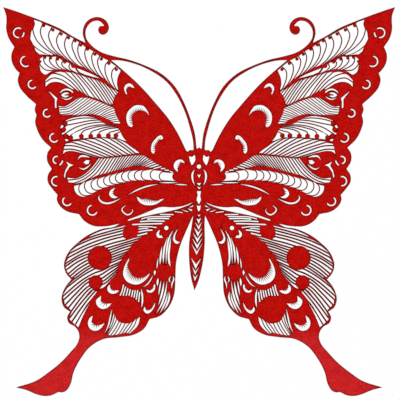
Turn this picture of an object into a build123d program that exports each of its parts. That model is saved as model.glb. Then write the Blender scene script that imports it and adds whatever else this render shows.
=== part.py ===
from build123d import *
import math
import os

os.makedirs("parts", exist_ok=True)

# Driving dimensions of the sheet, in millimetres
PAPER = 0.1
STRAND = 0.46
CENTRE_Y = -0.29
SLIT = 0.62
NARROW_SLIT = 0.5
WIDE_SLIT = 0.8
TOOTH_GAP = 1.6
RING_FACETS = 4
SCALE_FACETS = 2
HOLE_SIDES = 6
DISC_SIDES = 10
LARGE_DISC = ((49.7, -27.9), 6.1)
SMALL_DISC = ((51.7, -40.2), 3.6)
PIN_HOLE = ((16.4, -13.0), 1.15)


# Points spread evenly along a smooth curve through hand-placed points
def curve(points, facets):
    line = Edge.make_spline([Vector(x, y) for x, y in points])
    return [(p.X, p.Y) for p in line.positions([i / facets for i in range(facets + 1)])]


# Points spread evenly along the arc through three points
def bow(start, through, end, facets):
    arc = Edge.make_three_point_arc(Vector(*start), Vector(*through), Vector(*end))
    return [(p.X, p.Y) for p in arc.positions([i / facets for i in range(facets + 1)])]


# A line moved sideways, to the right of its direction
def shifted(line, offset):
    moved = []
    for i, (x, y) in enumerate(line):
        before = line[max(i - 1, 0)]
        after = line[min(i + 1, len(line) - 1)]
        along_x = after[0] - before[0]
        along_y = after[1] - before[1]
        length = math.hypot(along_x, along_y)
        moved.append((x + offset * along_y / length, y - offset * along_x / length))
    return moved


# Strands spread evenly from the first one up to the last one, which is left out
def fan(first, last, steps):
    strands = []
    for i in range(steps):
        share = i / steps
        strands.append([(a + (c - a) * share, b + (d - b) * share) for (a, b), (c, d) in zip(first, last)])
    return strands


# The opening between two strands, with corners of its own across the ends
def cell(left, right, starts=(), ends=()):
    along = (left[-1][0] - left[0][0], left[-1][1] - left[0][1])
    across_x = sum(x for x, y in right) / len(right) - sum(x for x, y in left) / len(left)
    across_y = sum(y for x, y in right) / len(right) - sum(y for x, y in left) / len(left)
    half = math.copysign(STRAND / 2, along[1] * across_x - along[0] * across_y)
    return shifted(left, half) + list(ends) + shifted(right, -half)[::-1] + list(starts)


# The openings between neighbours in a row of strands
def cells(strands, starts={}, ends={}):
    pairs = enumerate(zip(strands, strands[1:]))
    return [cell(a, b, starts.get(i, ()), ends.get(i, ())) for i, (a, b) in pairs]


# A slit that is pointed at both ends
def slit(line, width=SLIT):
    sides = shifted(line, width / 2)[1:-1], shifted(line, -width / 2)[1:-1]
    return [line[0]] + sides[0] + [line[-1]] + sides[1][::-1]


# A slit that is blunt at both ends
def slot(line, width=SLIT):
    return shifted(line, width / 2) + shifted(line, -width / 2)[::-1]


# A curled slit around a centre, clockwise for a negative sweep
def ring_slit(centre, radius, start, sweep, facets=RING_FACETS):
    turns = [math.radians(start + sweep * i / facets) for i in range(facets + 1)]
    return slit([(centre[0] + radius * math.cos(t), centre[1] + radius * math.sin(t)) for t in turns])


# A polygon with equal sides around a centre
def round_polygon(centre, radius, sides):
    turns = [math.tau * i / sides for i in range(sides)]
    return [(centre[0] + radius * math.cos(t), centre[1] + radius * math.sin(t)) for t in turns]


# The same points on the other wing
def mirrored(points):
    return [(-x, y) for x, y in points]


def face(points):
    return Face(Wire.make_polygon([Vector(x, y) for x, y in points]))


# Outline of the right half, from the head round the wings to the abdomen
right_outline = [(0, 27.4), (1.0, 26.6)]
right_outline += curve([(1.3, 27), (2.1, 34), (4.5, 42), (7.7, 50), (12.3, 58), (19, 64.2), (27, 68.2),
                        (35, 71.1), (43, 73), (48.7, 74.8), (53.5, 78)], 9)
right_outline += curve([(53.5, 78), (56.5, 82), (56.5, 86.5), (53, 90.3), (50, 90.5), (47.4, 88.2)], 6)[1:]
right_outline += curve([(48.2, 87.9), (49.2, 88), (50.4, 86.6), (49.8, 84.3), (48, 83.6), (46.5, 84.2),
                        (45.1, 87)], 6)
right_outline += curve([(45.1, 87), (45.5, 89), (47.2, 91.2), (51, 92.5), (55.3, 91), (57.2, 88.8),
                        (58.2, 84.5), (56.9, 79.6)], 7)[1:]
right_outline += curve([(56.9, 79.6), (63, 82.7), (70, 86.9), (78, 90.3), (90, 94.8), (98, 97.4)], 5)[1:]

# Scalloped margin of the fore wing, one run from notch to notch
margin = [
    ([(98, 97.4), (96.5, 93.5), (96.3, 90.5), (96.5, 87), (95.2, 81.8), (92.4, 77.5)], 4),
    ([(92.4, 77.5), (93.8, 74), (93.6, 70), (91.6, 66.3), (89.8, 64.4)], 4),
    ([(89.8, 64.4), (90.7, 61.3), (89.7, 57.3), (86.5, 53.3), (81.6, 48.9)], 4),
    ([(81.6, 48.9), (82.2, 46), (81.3, 43.4)], 2),
    ([(81.3, 43.4), (82, 40.5), (81, 36.2), (78.3, 31.2), (74.1, 27.2)], 4),
    ([(74.1, 27.2), (75.9, 24.3), (76, 20.7), (73.7, 16.5)], 3),
    ([(73.7, 16.5), (75.6, 13.5), (75.7, 10.2), (73.5, 6.7), (70.8, 3.5)], 4),
    ([(70.8, 3.5), (71.2, 1.5), (70, -1.5), (66.5, -4.5), (60.1, -6.1)], 4),
    ([(60.1, -6.1), (57.5, -9.4), (53, -11.9), (47, -12.2), (39.8, -10.9)], 4),
]
for points, facets in margin:
    right_outline += curve(points, facets)[1:]

# Hind wing with its tail
right_outline += curve([(39.8, -10.9), (42.5, -12.4), (48, -13.3), (52.5, -15), (57, -17.4), (61, -20.6),
                        (64.5, -24), (66.7, -27.7), (67.6, -32), (66.3, -36), (63.9, -38.7)], 8)[1:]
right_outline += curve([(63.9, -38.7), (66.3, -41.6), (68.2, -45.2), (68.8, -49), (67.5, -52.7),
                        (64.6, -54.8)], 5)[1:]
right_outline += curve([(64.6, -54.8), (66, -57.8), (65, -60.6), (62.3, -62.2), (60.5, -64.5), (59.9, -67.5),
                        (60.9, -70.8), (64.3, -75), (69.5, -80.5), (75.5, -85.3), (81, -89.1),
                        (91.6, -92.7)], 10)[1:]
right_outline += curve([(91.6, -92.7), (86.5, -94), (80.5, -96.4), (77.5, -97), (74.5, -96.8),
                        (70.3, -95)], 5)[1:]
right_outline += curve([(70.3, -95), (68.5, -95.2), (66.5, -94.4), (64.5, -91.5), (62.8, -85.2), (59, -78),
                        (54.5, -72.4), (48, -68.6), (40, -67.6), (32.5, -66.3), (27.4, -63.2),
                        (24.8, -58.6)], 10)[1:]
right_outline += curve([(24.8, -58.6), (20, -57.2), (15.3, -52.7), (12.5, -46.3), (11.9, -39), (11.5, -30.5),
                        (9.5, -22), (6, -13.4), (3, -6.8)], 7)[1:]

# Abdomen, which leans to the left
abdomen = curve([(3, -6.8), (2.8, -9), (2.8, -20), (2.2, -28), (1.1, -34), (-0.2, -39), (-2.3, -44.2)], 4)[1:]
abdomen += curve([(-2.3, -44.2), (-3.8, -39), (-4.7, -33), (-5.1, -27), (-5, -20.5), (-3.9, -13),
                  (-3, -6.8)], 4)[1:-1]
outline = right_outline + abdomen + mirrored(right_outline[1:])[::-1]

# Opening between the antenna and the leading edge of the wing
cuts = [
    curve([(2.8, 26.5), (3, 30), (4.6, 37), (7.1, 45), (10.7, 52.5), (16.2, 60), (24, 65.5), (32, 69),
           (40, 70.8), (44, 70.9)], 8)
    + curve([(44, 70.9), (39, 66.7), (30, 58.5), (21, 48.5), (15, 41.2), (10, 33), (6.6, 25.9)], 6)[1:]
    + [(5.8, 25.1), (4.7, 26), (3, 25.9)]
]

# Plumes under the front rim, each strand from the rib up to the rim
plumes = [
    [(40.2, 56.0), (40.8, 59), (40.5, 62), (39.0, 65.6)],
    [(41.7, 56.6), (43.2, 60.2), (43.8, 63.8), (41.5, 67.5)],
    [(44.5, 59.1), (46.4, 62.8), (47.2, 66.8), (45.3, 70.4)],
    [(47.4, 61.9), (49.7, 65.8), (50.8, 69.6), (49.8, 72.7)],
    [(50.3, 63.5), (52.4, 67.0), (53.7, 71.6), (52.7, 75.1)],
    [(52.7, 64.8), (55.2, 68.2), (57.0, 73.0), (56.5, 77.1)],
    [(55.4, 66.2), (58.3, 69.7), (60.5, 74.6), (59.9, 79.5)],
    [(58.0, 67.5), (60.9, 71.0), (63.4, 76.3), (62.6, 81.4)],
    [(60.8, 68.3), (64.5, 71.9), (67.0, 77.2), (65.9, 83.1)],
    [(65.0, 70.8), (68.6, 74.3), (71.1, 79.4), (69.4, 85.1)],
    [(68.3, 72.6), (72.0, 75.9), (75.0, 81.2), (73.7, 87.1)],
    [(71.2, 73.9), (75.0, 76.7), (78.6, 82.0), (78.2, 88.9)],
    [(72.8, 73.9), (77.3, 76.8), (81.3, 81.0), (83.3, 86.3)],
    [(74.0, 73.2), (77.5, 74.5), (80.5, 76.2), (83.0, 78.3)],
]
cuts += cells(plumes, ends={11: [(79.3, 90), (82.6, 91.1), (82, 89)], 12: [(84, 84.8), (84.4, 81.5)]})
cuts.append([(74.6, 73.4), (77.6, 74.2), (80.6, 76), (82.3, 77.3), (81.6, 75.4), (79.8, 73.9)])

# Short feathers between the two upper ribs
feathers = [
    [(60.2, 64.6), (61.3, 66.0), (61.9, 67.3)],
    [(63.8, 65.7), (65.0, 67.3), (64.6, 69.2)],
    [(66.2, 66.3), (68.4, 68.0), (68.3, 70.5)],
    [(68.6, 66.5), (71.1, 69.0), (71.3, 72.6)],
    [(70.2, 66.2), (73.6, 68.8), (74.6, 72.5)],
    [(72.2, 66.4), (76.5, 68.6), (77.8, 72.9)],
    [(73.2, 65.8), (77.0, 66.2), (79.7, 68.9)],
    [(74.0, 65.0), (76.9, 63.4), (79.2, 65.0), (80.0, 68.2)],
]
cuts += cells(feathers, ends={0: [(63.6, 67.0)], 1: [(66.0, 69.9), (67.2, 69.2)],
                              5: [(79.8, 71.3), (78.7, 70.4)]})
cuts.append([(49.8, 61.8), (55, 64.4), (61, 66.8), (59.7, 64.9), (56, 63.3), (52.5, 62.5)])

# Hatching above the upper eye spot
upper_hatch = [
    [(40.4, 55.1), (41.7, 56.2)],
    [(43.0, 50.2), (46.5, 55.5), (50.3, 60.6)],
    [(45.1, 48.9), (49.2, 55.2), (54.3, 61.8)],
    [(49.5, 51.1), (53.9, 57.0), (59.4, 63.4)],
    [(55.2, 52.9), (58.8, 58.3), (64.0, 64.7)],
    [(57.7, 54.5), (61.2, 59.3), (67.0, 64.9)],
    [(59.9, 55.7), (64.2, 60.3), (69.0, 63.4), (72.3, 64.5)],
]
cuts += cells(upper_hatch, starts={1: [(43.4, 48.6)]}, ends={5: [(69.5, 65.1)]})
eye_lashes = [
    [(59.9, 55.7), (64.2, 60.3), (69.0, 63.4), (73.5, 64.2), (76.9, 61.2)],
    [(60.6, 55.2), (69.2, 61.3), (73.0, 62.0), (76.9, 59.9)],
    [(61.2, 55.0), (68.0, 58.9), (72.0, 59.8), (75.0, 58.9), (76.5, 57.4)],
]
cuts += cells(eye_lashes)

# Hatching below the upper eye spot
lower_hatch = [
    [(60.3, 52.3), (67.0, 47.9), (70.3, 48.2)],
    [(59.6, 52.1), (66.3, 47.3), (69.9, 47.1)],
    [(55.4, 52.0), (65.0, 45.4), (69.9, 44.9)],
    [(52.7, 51.1), (63.6, 43.6)],
    [(49.7, 50.0), (59.4, 43.7)],
    [(46.9, 48.8), (55.1, 44.0)],
    [(42.2, 45.8), (49.0, 42.8)],
    [(39.3, 38.9), (42.7, 39.5)],
]
cuts += cells(lower_hatch, ends={2: [(68.6, 43.4)]})

# Strands that hang from the upper rail down to the middle one
garland = [
    [(38.8, 34.4), (37.9, 32.7), (36.2, 30.5)],
    [(39.3, 35.1), (41.3, 34.1), (41.7, 32.2)],
    [(40.0, 36.1), (42.5, 35.4), (45.2, 34.4), (45.4, 32.4)],
    [(40.8, 37.1), (46.5, 36.3), (50.1, 34.5), (50.1, 32.5)],
    [(41.8, 37.7), (49.0, 36.8), (54.2, 34.5), (54.2, 32.2)],
    [(43.7, 38.2), (51.5, 37.5), (58.8, 34.4), (58.9, 31.8)],
    [(50.5, 38.5), (58.0, 36.8), (64.0, 33.3), (63.8, 31.2)],
]
cuts += cells(garland)
upper_garland = [
    [(50.5, 38.5), (58.0, 36.8), (63.8, 33.6)],
    [(48.7, 40.0), (56.0, 39.1), (62.0, 37.2), (67.3, 34.0)],
    [(50.5, 41.0), (58.0, 40.1), (66.1, 38.4)],
    [(52.6, 42.4), (57.0, 43.2), (60.5, 42.8), (68.3, 40.2)],
]
cuts += cells(upper_garland, starts={0: [(46.6, 38.95)]},
              ends={0: [(64.8, 33.1), (66.3, 34.1)],
                    1: [(68.4, 33.6), (68.6, 34.4), (67.2, 34.9), (66.6, 36), (67, 37.3)],
                    2: [(66.1, 40.1)]})

# Hatching between the middle rail and the lower midrib
shoulder_hatch = [
    [(33.3, 27.4), (41.0, 31.9)],
    [(33.6, 24.1), (45.0, 31.8)],
    [(38.2, 23.6), (45.3, 28.2), (52.3, 31.6)],
    [(42.0, 23.1), (50.7, 27.2), (60.0, 30.7)],
    [(47.0, 22.6), (54.0, 25.3), (63.2, 28.1), (67.2, 28.2)],
    [(49.8, 22.4), (57.5, 24.8), (64.0, 26.4), (67.6, 26.3)],
    [(53.2, 22.8), (63.0, 25.1), (66.6, 24.8), (67.9, 23.7)],
]
cuts += cells(shoulder_hatch, starts={0: [(29.9, 24.5), (31.9, 26.1)]}, ends={3: [(63.6, 29.9), (66.6, 29.1)]})

# Hatching that fans out below the lower midrib
root_strand = [(20.1, 18.3), (23.5, 17.0)]
low_strand = [(25.0, 21.3), (28.2, 18.7)]
knee_strand = [(29.5, 23.6), (34.0, 18.1)]
middle_strand = [(35.5, 22.9), (39.6, 17.1)]
outer_strand = [(41.6, 22.5), (46.5, 14.9)]
last_strand = [(46.2, 22.1), (55.0, 11.9)]
fan_hatch = [root_strand] + fan(low_strand, knee_strand, 2)
fan_hatch += fan(knee_strand, middle_strand, 2) + fan(middle_strand, outer_strand, 2)
fan_hatch += fan(outer_strand, last_strand, 2)
fan_hatch += [
    last_strand,
    [(47.8, 21.9), (53.7, 14.7), (58.0, 11.3), (62.6, 9.4)],
    [(49.3, 21.7), (54.3, 15.6), (59.7, 11.8), (65.6, 10.9)],
    [(50.4, 21.9), (55.0, 16.2), (58.0, 13.7), (61.5, 12.1), (65.9, 12.4)],
]
cuts += cells(fan_hatch, ends={9: [(58.3, 10)], 10: [(65.2, 9.8)]})
cuts.append(slot([(16.0, 16.1), (22.0, 17.0)], NARROW_SLIT))

# Band of scales, each strand bowed from its top to its foot
scale_strands = [
    [(12.5, 14.1), (13.2, 12.3), (11.6, 10.8)],
    [(18.3, 15.1), (19.95, 13.0), (18.6, 10.7)],
    [(22.7, 16.1), (24.5, 13.6), (22.9, 11.1)],
    [(28.0, 15.7), (29.0, 13.6), (27.1, 11.0)],
    [(30.5, 15.6), (32.4, 13.1), (31.0, 10.9)],
    [(33.3, 15.8), (35.6, 13.0), (34.2, 10.7)],
    [(37.4, 15.0), (38.8, 12.4), (36.3, 10.2)],
    [(40.4, 14.4), (41.9, 11.8), (38.7, 9.6)],
    [(43.7, 13.6), (44.9, 11.2), (42.0, 8.9)],
    [(47.0, 12.5), (47.8, 10.9), (44.9, 8.1)],
    [(50.2, 11.8), (51.0, 9.6), (48.3, 6.9)],
    [(52.5, 11.3), (54.1, 8.7), (51.1, 5.8)],
    [(56.7, 10.1), (57.4, 8.0), (53.3, 4.2)],
    [(59.7, 8.5), (60.2, 6.3), (56.5, 3.1)],
    [(62.7, 8.0), (62.2, 5.0), (57.2, 2.4)],
]
cuts += cells([bow(top, middle, foot, SCALE_FACETS) for top, middle, foot in scale_strands])

# Curled slits along the scalloped margin: centre, radius, start and sweep
cuts += [
    ring_slit((90.4, 84.6), 2.4, 133, -241),
    ring_slit((90.4, 84.6), 2.75, 176, 54, 2),
    ring_slit((86.7, 70.3), 2.55, 90, -220),
    ring_slit((83.4, 58.8), 2.05, 94, -249),
    ring_slit((76.0, 44.4), 1.9, 105, -258),
    ring_slit((72.5, 32.1), 2.15, 95, -246),
    ring_slit((71.2, 21.0), 1.8, 113, -203),
    ring_slit((71.2, 21.0), 2.9, 184, 61, 2),
    ring_slit((71.4, 10.4), 2.3, 111, -216),
    ring_slit((66.0, 0.4), 2.2, 60, -218),
    ring_slit((53.4, -4.1), 2.45, 88, -254),
    slit([(33.9, -2.9), (33.2, -4.4), (35.5, -6.5), (38.5, -3.9), (36.4, -1.5)]),
    slit([(38.9, 2), (42, 0.4), (46, -0.6), (49.8, 0.9), (49.6, 3.4)], WIDE_SLIT),
]

# Slits of the two eye spots
cuts += [
    bow((62.8, 54.6), (66.9, 56.65), (69.6, 54.6), 4) + [(67.8, 55.6), (65.5, 55.6)],
    [(65.2, 54.6), (67.2, 54.7), (68.9, 53.4), (67, 52.3), (65.2, 52.8), (67.3, 53.5)],
    slit([(63, 52.9), (64.5, 51.8), (66.5, 51.3), (69, 52.2)], NARROW_SLIT),
    [(75.3, 55.4), (73, 53.6), (70.9, 51.8), (71.4, 50), (71.3, 47.2), (71.7, 46.8), (72.1, 47.5),
     (72.1, 51.3), (73.2, 52.8)],
    slit([(54.3, 22.1), (57, 22.9), (59.3, 22.8), (60.8, 21)], WIDE_SLIT),
    [(54.6, 20.8), (56.5, 20.9), (57.8, 19.7), (56.5, 18.8), (55, 19.3), (55.2, 20.2)],
    slit([(54, 19.2), (56, 17.3), (58, 16.4), (60.3, 17.4)]),
    [(62.9, 18.5), (64.7, 19.1), (66.5, 20.2), (65.4, 18.3), (66.8, 16), (67.6, 13), (67.1, 11.9),
     (66.7, 14.5), (64.8, 17.6)],
]

# Crescents at the root of the fore wing
cuts += [
    bow((32.3, 56.9), (35.3, 59.3), (37.5, 57.1), 3) + [(36.5, 53.9), (36.3, 56.4)]
    + [(35.2, 57.8), (33.5, 57.5)],
    bow((25, 43.4), (27.2, 47.3), (30.5, 48.4), 2) + bow((30.5, 48.4), (36.3, 43.5), (33.9, 37.3), 4)[1:]
    + bow((33.5, 37.8), (33.9, 42), (32, 45.5), 2) + [(29.5, 46.2), (27.2, 45.4)],
    [(18, 31.9), (19.2, 33.7)] + bow((21.2, 32.6), (24, 27.6), (23.1, 24), 4)
    + bow((22.4, 24.6), (22.6, 27.2), (20.6, 30.7), 3),
    bow((7.3, 19.1), (9.4, 21.25), (11.9, 20), 3) + bow((11.9, 20), (12.5, 17.3), (10.5, 15.1), 3)[1:]
    + [(10.9, 16.6), (10, 18.3), (9.1, 19.9)],
    bow((17.4, 1.8), (24, -1.4), (31, 2.5), 5) + [(26, 1.4), (21.5, 0.8)],
    bow((41.8, 7.2), (45.1, 4.5), (43.6, 2.1), 3) + [(40.7, 2.7), (42.8, 3), (43.4, 4.7)],
]

# Long slits along the hind edge of the fore wing and the gap to the hind wing
cuts += [
    slit([(5.5, 8.5), (9, 8.7), (12.3, 8.9)], NARROW_SLIT),
    slit([(10.5, 9.65), (15.5, 9.65), (20.3, 9.7)], NARROW_SLIT),
    slit([(20.3, 8.9), (25, 8.1), (31, 6), (35.7, 3.4)]),
    [(3.2, -0.2), (8, -2), (13, -2.7), (19.5, -2.6), (26, -5.2), (35.7, -8.9), (35.3, -9.4), (28, -7.3),
     (17, -4.9), (9.7, -3.2)],
    [(2.8, -1.5), (5.1, -2.8), (3.3, -2.4)],
    [(3.5, -4), (9.1, -3.7), (4.2, -4.7)],
]

# Slits of the hind wing before the upper disc
cuts += [
    slot([(9, -5.4), (19.6, -6.1)], NARROW_SLIT),
    slot([(14.3, -7.25), (25, -7.4), (28.9, -8.6)], NARROW_SLIT),
    slot([(15, -8.3), (26, -8.6)]),
    slot([(17.3, -9.6), (29.6, -9.8)]),
    slot([(18.5, -10.8), (33.4, -11.2)]),
    slot([(21.3, -12.7), (30.2, -12.3)]),
    slot([(23.8, -13.8), (30.3, -14.6)], WIDE_SLIT),
    slot([(25.9, -15.6), (30.9, -16.8)]),
]

# Hatching of the hind wing, from the front edge to the tail
hind_hatch = [
    [(37.0, -11.4), (48.5, -13.9), (52.0, -15.3), (60.2, -20.5)],
    [(38.2, -14.3), (50.0, -17.4), (61.2, -21.9)],
    [(38.0, -17.3), (50.0, -20.9), (65.4, -27.7)],
    [(36.5, -18.9), (46.0, -21.5), (60.0, -26.6), (66.6, -30.6)],
    [(32.9, -20.1), (44.2, -23.9), (56.0, -27.6), (66.4, -33.9)],
    [(34.6, -23.2), (43.4, -26.5), (55.6, -30.5), (64.5, -37.0)],
    [(37.5, -26.6), (43.0, -28.7), (54.3, -32.7), (63.2, -38.8)],
    [(39.3, -29.9), (45.0, -32.3), (52.0, -35.3), (68.0, -47.0)],
    [(39.9, -31.2), (44.2, -33.0), (49.5, -36.5), (55.0, -38.3), (67.8, -49.0)],
    [(40.7, -33.6), (48.0, -39.5), (55.5, -42.2), (65.4, -53.1)],
    [(41.6, -36.2), (48.6, -43.0), (53.2, -43.9), (60.3, -52.0), (64.4, -57.6)],
]
hatch_cells = cells(hind_hatch, starts={3: [(30, -18.8), (28.1, -17.1), (32.5, -18.1)]},
                    ends={6: [(66.2, -42.6)], 9: [(63.9, -54.5)]})
tail_strands = [
    [(53.2, -43.9), (60.3, -52.0), (64.4, -57.6)],
    [(53.7, -48.7), (58.7, -56.0), (61.9, -61.4)],
]
hatch_cells += cells(tail_strands, starts={0: [(50.9, -44.6)]}, ends={0: [(64.6, -58.6), (63.6, -60.1)]})
hatch_cells.append([(54.7, -50.5), (58.5, -56.1), (61.6, -61.6), (60.4, -62.6), (58.2, -57.2)])

# Crescents and a pin hole of the hind wing
cuts += [
    round_polygon(*PIN_HOLE, HOLE_SIDES),
    bow((35, -28.1), (37.9, -33.5), (37.3, -38.1), 3) + bow((37.3, -38.1), (32, -41.3), (26.3, -38.7), 4)[1:]
    + [(24.7, -35.6)] + bow((25.9, -36.7), (30.5, -38.4), (34.3, -35.4), 3) + [(35.9, -31.5)],
    bow((44.6, -41.2), (45.8, -43.6), (43.8, -45.9), 3) + [(42, -45.7), (40, -44.3), (43.2, -44.2)],
    [(22, -50.3)] + bow((23.2, -53.9), (25.9, -55.8), (27.4, -52.2), 3) + [(26.4, -54.2), (24, -53.6)],
    bow((22, -41.1), (22.8, -44.7), (25, -45.5), 3) + [(26.5, -44), (24.5, -44.4), (23.2, -43.4)],
    bow((49, -46.9), (51.5, -50.2), (48.4, -53.5), 3) + [(46, -52.9), (43.8, -50.6), (47.6, -50.9)]
    + [(49.7, -49.2)],
    bow((53.2, -56.7), (55.6, -60.8), (53.2, -64.3), 3) + [(50, -63.8), (47.2, -60.4), (51, -61.9)]
    + [(53.9, -60)],
    [(10.5, -13.2), (12.5, -16.5)] + bow((13.1, -18.6), (11.8, -20.9), (9.6, -20), 2) + [(11.9, -18.7)],
    bow((19.6, -13.9), (21.45, -16.6), (18, -17.9), 3) + [(20.2, -16.2)],
    slit([(23, -36.3), (24.3, -39), (26, -41.2), (28.3, -42.6)], NARROW_SLIT),
]

# Inner hatching of the hind wing, along the edge beside the abdomen
cuts += [
    slit([(14, -17.5), (14.8, -22), (14.9, -30.5), (14.3, -32.3)]),
    slit([(12.9, -13.9), (15.3, -19), (16.4, -25.5), (16.6, -31.3)]),
    slit([(15.7, -17.2), (17.4, -23), (17.9, -27.5), (17.9, -31)]),
    slit([(18.5, -22), (19.3, -27.5), (19.6, -31.5)]),
    slit([(20.5, -27.8), (20.9, -31), (21.2, -33.6)], NARROW_SLIT),
    [(22, -33.9), (22.8, -35.2), (22.2, -36.8), (21.7, -35.3)],
    slit([(13.1, -36.9), (12.8, -39), (14, -41.5), (13.7, -43.6)]),
    slit([(15.2, -44.6), (14.9, -47.5), (16, -51.2), (17.8, -54.3)]),
    slit([(15.8, -45), (16.4, -48.7), (17.9, -52.3), (19.8, -55.9)]),
    slit([(16, -39.1), (17.2, -46.5), (18.6, -50.8), (21.4, -55.8)]),
    slit([(17.5, -39.6), (18.5, -45.5), (20.4, -51.8)]),
    slit([(19.1, -39.2), (19.7, -43), (20.3, -47)]),
    slit([(20.5, -37.9), (20.8, -40), (20.9, -42.2)]),
]

# Upper comb of the hind wing
cuts.append(slit([(29.1, -43.3), (28.6, -46), (28.5, -50), (28.8, -53)], WIDE_SLIT))
upper_comb = [
    [(30.2, -44.5), (30.9, -49.3)],
    [(32.5, -44.2), (33.2, -47.6)],
    [(35.0, -43.4), (35.8, -46.9)],
    [(37.2, -41.9), (38.7, -46.9)],
]
cuts += [slot(line, TOOTH_GAP) for line in upper_comb]

# Lower comb of the hind wing
lower_comb = [
    [(29.3, -57.5), (30.3, -61.5), (34.6, -66.0)],
    [(31.1, -58.4), (32.6, -62.0), (35.4, -65.6)],
    [(34.6, -60.6), (36.0, -62.8), (37.8, -65.6)],
    [(38.9, -60.4), (39.9, -62.6), (42.3, -66.4)],
    [(41.3, -58.8), (42.6, -61.6), (46.0, -66.6)],
    [(42.9, -56.0), (44.0, -60.5), (46.2, -65.7)],
]
cuts += cells(lower_comb)
cuts.append(slit([(43.5, -53.2), (44.4, -57.5), (45.3, -61.5), (47.2, -65.7)]))

# Eyes and throat, the same on both sides of the body
cuts += [
    [(2.1, 23.3), (3, 22.8), (5.1, 22.8), (4.5, 20.3), (3.7, 18.5), (2.2, 20.3)],
    bow((2, 16.3), (3.9, 12.6), (2.1, 8.2), 3) + [(2.8, 10.5), (2.8, 14.4)],
]

# Cut-outs along the middle of the body
body_cuts = [
    round_polygon((-0.1, 17.7), 1.15, HOLE_SIDES),
    [(-1, 14), (-0.2, 13.4), (0.8, 13.9), (0, 11.9)],
    [(-1.2, 9.4), (1, 9.4), (0, 8.2)],
    [(-1.1, 7.8), (0, 7.2), (0.9, 7.7), (0, 6.4)],
    [(-1.1, 5.4), (0.9, 5.4), (0.5, 3), (0.9, 1), (-0.1, -1.2), (-1.3, 1), (-0.7, 3.5)],
    [(-1.1, -1.6), (-0.1, -2.1), (0.8, -1.6), (0.5, -3.8), (-0.2, -4.8), (-0.8, -3.8)],
    [(-0.7, -6.6), (0.7, -6.2), (-0.2, -7.3)],
]

# Chevrons of the abdomen: left tip, inner corner, right tip, outer corner
body_cuts += [
    [(-1.25, -8.2), (-0.2, -8.8), (0.9, -7.8), (-0.2, -11)],
    [(-2.1, -10), (-0.3, -12.3), (1.3, -10), (-0.2, -14)],
    [(-2.5, -12.7), (-0.4, -15.3), (1.5, -12.7), (-0.7, -17.3)],
    [(-3.2, -15.2), (-0.9, -18.4), (1.8, -15), (-0.9, -20.3)],
    [(-3.4, -18.2), (-0.95, -21.6), (1.6, -18), (-1, -23.5)],
    [(-3.9, -20.8), (-1.1, -24.9), (1.8, -20.2), (-1.3, -26.4)],
    [(-4.1, -27.8), (-1.5, -31.2), (1, -28), (-1.8, -33.5)],
    [(-3.5, -32.3), (-1.8, -34.9), (0, -32.2), (-2, -36.4)],
    [(-3.1, -36.3), (-2, -37.8), (-0.6, -35.9), (-2.15, -39.5)],
]

# Strands run behind the two discs of the hind wing
with BuildSketch() as hatched:
    add([face(points) for points in hatch_cells])
    add(face(round_polygon(*LARGE_DISC, DISC_SIDES)), mode=Mode.SUBTRACT)
    add(face(round_polygon(*SMALL_DISC, DISC_SIDES)), mode=Mode.SUBTRACT)
right_cuts = [face(points) for points in cuts] + hatched.sketch.faces()
left_cuts = [cut.mirror(Plane.YZ) for cut in right_cuts]

# The whole sheet, lying on its back face
with BuildPart() as paper_cutting:
    with BuildSketch(Plane(origin=(0, CENTRE_Y, 0))):
        add(face(outline))
        add(right_cuts + left_cuts + [face(points) for points in body_cuts], mode=Mode.SUBTRACT)
    extrude(amount=PAPER)
paper_cutting.part.label = "paper_cutting"
export_step(paper_cutting.part, "parts/paper_cutting.step")
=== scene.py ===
import math
import bpy
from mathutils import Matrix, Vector
from mathutils.bvhtree import BVHTree
from mathutils.geometry import delaunay_2d_cdt


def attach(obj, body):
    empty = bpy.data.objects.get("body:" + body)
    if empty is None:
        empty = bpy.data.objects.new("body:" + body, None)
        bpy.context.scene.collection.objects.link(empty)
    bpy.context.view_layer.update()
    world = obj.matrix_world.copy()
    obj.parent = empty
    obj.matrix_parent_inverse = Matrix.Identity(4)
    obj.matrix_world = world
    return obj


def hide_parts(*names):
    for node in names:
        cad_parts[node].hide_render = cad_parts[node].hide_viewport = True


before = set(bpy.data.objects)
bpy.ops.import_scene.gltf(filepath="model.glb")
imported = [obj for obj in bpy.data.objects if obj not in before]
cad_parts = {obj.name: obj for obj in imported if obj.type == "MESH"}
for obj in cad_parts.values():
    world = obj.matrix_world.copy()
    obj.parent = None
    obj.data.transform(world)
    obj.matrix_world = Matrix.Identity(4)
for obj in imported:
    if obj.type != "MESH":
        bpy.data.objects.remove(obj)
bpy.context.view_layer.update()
scene = bpy.context.scene
print("stage: frame loaded")


def smooth(points, facets=4):  # a round line through given points
    if len(points) < 3:
        return [tuple(p) for p in points]
    line = [Vector(p) for p in points]
    line = [2 * line[0] - line[1]] + line + [2 * line[-1] - line[-2]]
    placed = []
    for a, b, c, d in zip(line, line[1:], line[2:], line[3:]):
        before, here, after = (b - a).length, (c - b).length, (d - c).length
        leave = ((c - b) * before / here + (b - a) * here / before) / (before + here) * here
        arrive = ((d - c) * here / after + (c - b) * after / here) / (here + after) * here
        for i in range(facets):
            t = i / facets
            rise = t * t * (3 - 2 * t)
            p = b + (c - b) * rise + leave * (t * (1 - t) ** 2) - arrive * (t * t * (1 - t))
            placed.append((p.x, p.y))
    return placed + [tuple(points[-1])]


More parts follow.
